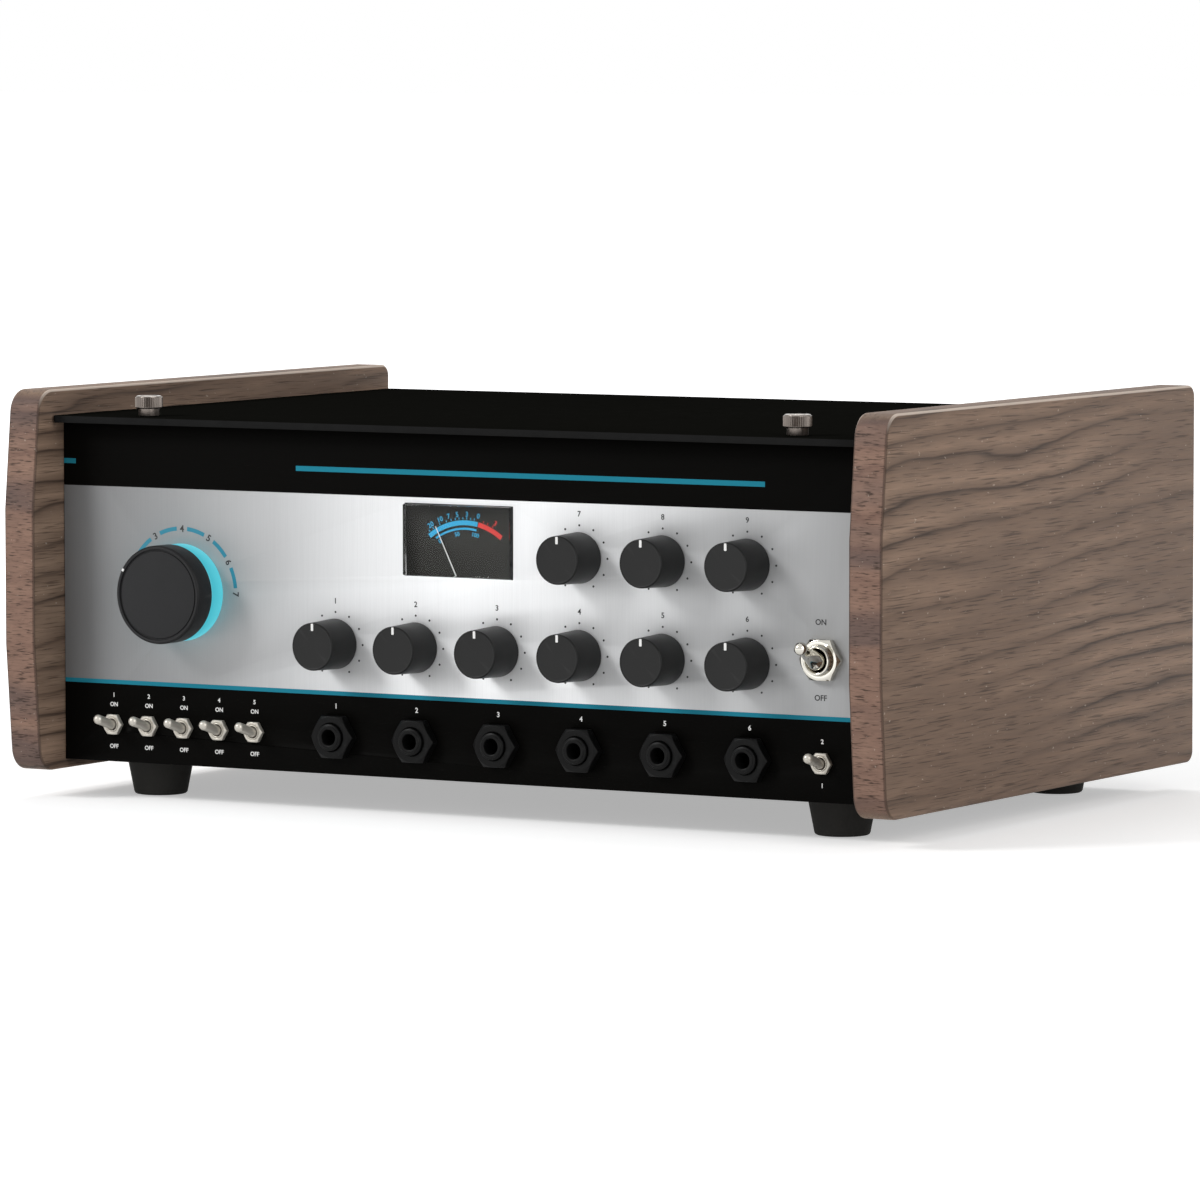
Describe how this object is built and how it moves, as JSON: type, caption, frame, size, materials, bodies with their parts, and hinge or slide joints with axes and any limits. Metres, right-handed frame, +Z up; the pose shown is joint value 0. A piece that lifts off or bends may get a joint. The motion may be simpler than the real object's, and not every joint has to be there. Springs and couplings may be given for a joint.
{
  "type": "tape echo unit",
  "caption": "Desktop tape echo: wooden-sided case with front panel controls, level meter and sockets, and a hinged lid over a belt-driven tape transport.",
  "frame": {"origin": "on the surface it stands on, under the middle of the case", "axes": "+X to the right seen from the front, +Y to the back, +Z up"},
  "size_m": [0.412, 0.28, 0.17],
  "materials": {
    "walnut": "oiled satin walnut, grain along the depth",
    "black_steel": "fine satin black powder coat",
    "front_print": "brushed silver band between printed black bands",
    "foot_rubber": "matt",
    "hinge_steel": "zinc plated",
    "screw_steel": "bright, knurled head",
    "knob_black": "satin dark",
    "circuit_board": "lacquered board",
    "ring_light": "translucent, lit from inside",
    "switch_nickel": "satin nickel",
    "power_chrome": "bright",
    "socket_black": "satin black",
    "meter_grey": "dark grey dial",
    "clear_cover": "clear moulded",
    "needle_white": "white",
    "deck_zinc": "satin zinc",
    "tape_brown": "brown oxide tape",
    "head_block_metal": "milled",
    "head_steel": "polished face",
    "drive_brass": "turned",
    "motor_steel": "satin",
    "belt_rubber": "matt",
    "core_winding": "taped winding"
  },
  "bodies": {
    "case": {"wood_side_left": "walnut", "wood_side_right": "walnut", "chassis_tub": "black_steel", "front_panel": "front_print", "foot_front_left": "foot_rubber", "foot_front_right": "foot_rubber", "foot_rear_left": "foot_rubber", "foot_rear_right": "foot_rubber", "lid_hinge": "hinge_steel", "control_board": "circuit_board", "left_board": "circuit_board", "main_board": "circuit_board", "light_ring": "ring_light", "level_switch": "switch_nickel", "power_switch": "power_chrome", "jack_1": "socket_black", "jack_2": "socket_black", "jack_3": "socket_black", "jack_4": "socket_black", "jack_5": "socket_black", "jack_6": "socket_black", "meter_case": "meter_grey", "meter_window": "clear_cover", "tape_cover": "clear_cover", "deck_plate": "deck_zinc", "tape_loop": "tape_brown", "head_block": "head_block_metal", "erase_head": "head_steel", "record_head": "head_steel", "play_head_1": "head_steel", "play_head_2": "head_steel", "play_head_3": "head_steel", "drive_motor": "motor_steel", "drive_belt": "belt_rubber", "transformer": "core_winding"},
    "lid": {"lid_plate": "black_steel"},
    "screw_left": {"lid_screw_left": "screw_steel"},
    "screw_right": {"lid_screw_right": "screw_steel"},
    "lower_knob_1": {"knob_lower_1": "knob_black"},
    "lower_knob_2": {"knob_lower_2": "knob_black"},
    "lower_knob_3": {"knob_lower_3": "knob_black"},
    "lower_knob_4": {"knob_lower_4": "knob_black"},
    "lower_knob_5": {"knob_lower_5": "knob_black"},
    "lower_knob_6": {"knob_lower_6": "knob_black"},
    "upper_knob_1": {"knob_upper_1": "knob_black"},
    "upper_knob_2": {"knob_upper_2": "knob_black"},
    "upper_knob_3": {"knob_upper_3": "knob_black"},
    "selector": {"mode_knob": "knob_black"},
    "lever_1": {"toggle_lever_1": "switch_nickel"},
    "lever_2": {"toggle_lever_2": "switch_nickel"},
    "lever_3": {"toggle_lever_3": "switch_nickel"},
    "lever_4": {"toggle_lever_4": "switch_nickel"},
    "lever_5": {"toggle_lever_5": "switch_nickel"},
    "lever_level": {"level_lever": "switch_nickel"},
    "lever_power": {"power_lever": "power_chrome"},
    "needle": {"meter_needle": "needle_white"},
    "flywheel": {"capstan_flywheel": "drive_brass"},
    "pulley": {"motor_pulley": "drive_brass"},
    "arm": {"pinch_arm": "deck_zinc"},
    "roller": {"pinch_roller": "belt_rubber"}
  },
  "joints": [
    {"name": "lid_hinge_turn", "type": "hinge", "parent": "case", "child": "lid", "pos_m": [0, 0.132, 0.1539], "axis": [-1, 0, 0], "range_deg": [0, 100]},
    {"name": "screw_left_turn", "type": "hinge", "parent": "lid", "child": "screw_left", "pos_m": [-0.153, -0.1108, 0.15945], "axis": [0, 0, 1], "continuous": true},
    {"name": "screw_right_turn", "type": "hinge", "parent": "lid", "child": "screw_right", "pos_m": [0.153, -0.1108, 0.15945], "axis": [0, 0, 1], "continuous": true},
    {"name": "lower_knob_1_turn", "type": "hinge", "parent": "case", "child": "lower_knob_1", "pos_m": [-0.0577, -0.1178, 0.069], "axis": [0, 1, 0], "range_deg": [-150, 150]},
    {"name": "lower_knob_2_turn", "type": "hinge", "parent": "case", "child": "lower_knob_2", "pos_m": [-0.0193, -0.1178, 0.069], "axis": [0, 1, 0], "range_deg": [-150, 150]},
    {"name": "lower_knob_3_turn", "type": "hinge", "parent": "case", "child": "lower_knob_3", "pos_m": [0.0191, -0.1178, 0.069], "axis": [0, 1, 0], "range_deg": [-150, 150]},
    {"name": "lower_knob_4_turn", "type": "hinge", "parent": "case", "child": "lower_knob_4", "pos_m": [0.0575, -0.1178, 0.069], "axis": [0, 1, 0], "range_deg": [-150, 150]},
    {"name": "lower_knob_5_turn", "type": "hinge", "parent": "case", "child": "lower_knob_5", "pos_m": [0.0959, -0.1178, 0.069], "axis": [0, 1, 0], "range_deg": [-150, 150]},
    {"name": "lower_knob_6_turn", "type": "hinge", "parent": "case", "child": "lower_knob_6", "pos_m": [0.1343, -0.1178, 0.069], "axis": [0, 1, 0], "range_deg": [-150, 150]},
    {"name": "upper_knob_1_turn", "type": "hinge", "parent": "case", "child": "upper_knob_1", "pos_m": [0.0575, -0.1178, 0.1082], "axis": [0, 1, 0], "range_deg": [-150, 150]},
    {"name": "upper_knob_2_turn", "type": "hinge", "parent": "case", "child": "upper_knob_2", "pos_m": [0.0959, -0.1178, 0.1082], "axis": [0, 1, 0], "range_deg": [-150, 150]},
    {"name": "upper_knob_3_turn", "type": "hinge", "parent": "case", "child": "upper_knob_3", "pos_m": [0.1343, -0.1178, 0.1082], "axis": [0, 1, 0], "range_deg": [-150, 150]},
    {"name": "selector_turn", "type": "hinge", "parent": "case", "child": "selector", "pos_m": [-0.1324, -0.1178, 0.08735], "axis": [0, 1, 0], "range_deg": [-30, 150]},
    {"name": "lever_1_rock", "type": "hinge", "parent": "case", "child": "lever_1", "pos_m": [-0.1666, -0.12, 0.031], "axis": [1, 0, 0], "range_deg": [0, 34]},
    {"name": "lever_2_rock", "type": "hinge", "parent": "case", "child": "lever_2", "pos_m": [-0.14924, -0.12, 0.031], "axis": [1, 0, 0], "range_deg": [0, 34]},
    {"name": "lever_3_rock", "type": "hinge", "parent": "case", "child": "lever_3", "pos_m": [-0.13188, -0.12, 0.031], "axis": [1, 0, 0], "range_deg": [0, 34]},
    {"name": "lever_4_rock", "type": "hinge", "parent": "case", "child": "lever_4", "pos_m": [-0.11452, -0.12, 0.031], "axis": [1, 0, 0], "range_deg": [0, 34]},
    {"name": "lever_5_rock", "type": "hinge", "parent": "case", "child": "lever_5", "pos_m": [-0.09716, -0.12, 0.031], "axis": [1, 0, 0], "range_deg": [0, 34]},
    {"name": "lever_level_rock", "type": "hinge", "parent": "case", "child": "lever_level", "pos_m": [0.168, -0.12, 0.031], "axis": [1, 0, 0], "range_deg": [0, 34]},
    {"name": "lever_power_rock", "type": "hinge", "parent": "case", "child": "lever_power", "pos_m": [0.168, -0.123, 0.0719], "axis": [1, 0, 0], "range_deg": [0, 48]},
    {"name": "needle_swing", "type": "hinge", "parent": "case", "child": "needle", "pos_m": [0.0011, -0.1135, 0.0928], "axis": [0, 1, 0], "range_deg": [-12, 62], "stiffness_Nm_per_rad": 0.00005},
    {"name": "flywheel_spin", "type": "hinge", "parent": "case", "child": "flywheel", "pos_m": [0.112, -0.0525, 0.104], "axis": [0, 0, 1], "continuous": true},
    {"name": "pulley_spin", "type": "hinge", "parent": "case", "child": "pulley", "pos_m": [0.03, -0.0525, 0.104], "axis": [0, 0, 1], "continuous": true},
    {"name": "arm_swing", "type": "hinge", "parent": "case", "child": "arm", "pos_m": [0.146, -0.074, 0.12], "axis": [0, 0, 1], "range_deg": [0, 20]},
    {"name": "roller_spin", "type": "hinge", "parent": "arm", "child": "roller", "pos_m": [0.112, -0.0675, 0.132], "axis": [0, 0, 1], "continuous": true}
  ],
  "couplings": [
    {"joint": "pulley_spin", "follows": "flywheel_spin", "ratio": 4.75},
    {"joint": "roller_spin", "follows": "flywheel_spin", "ratio": -0.2727}
  ]
}
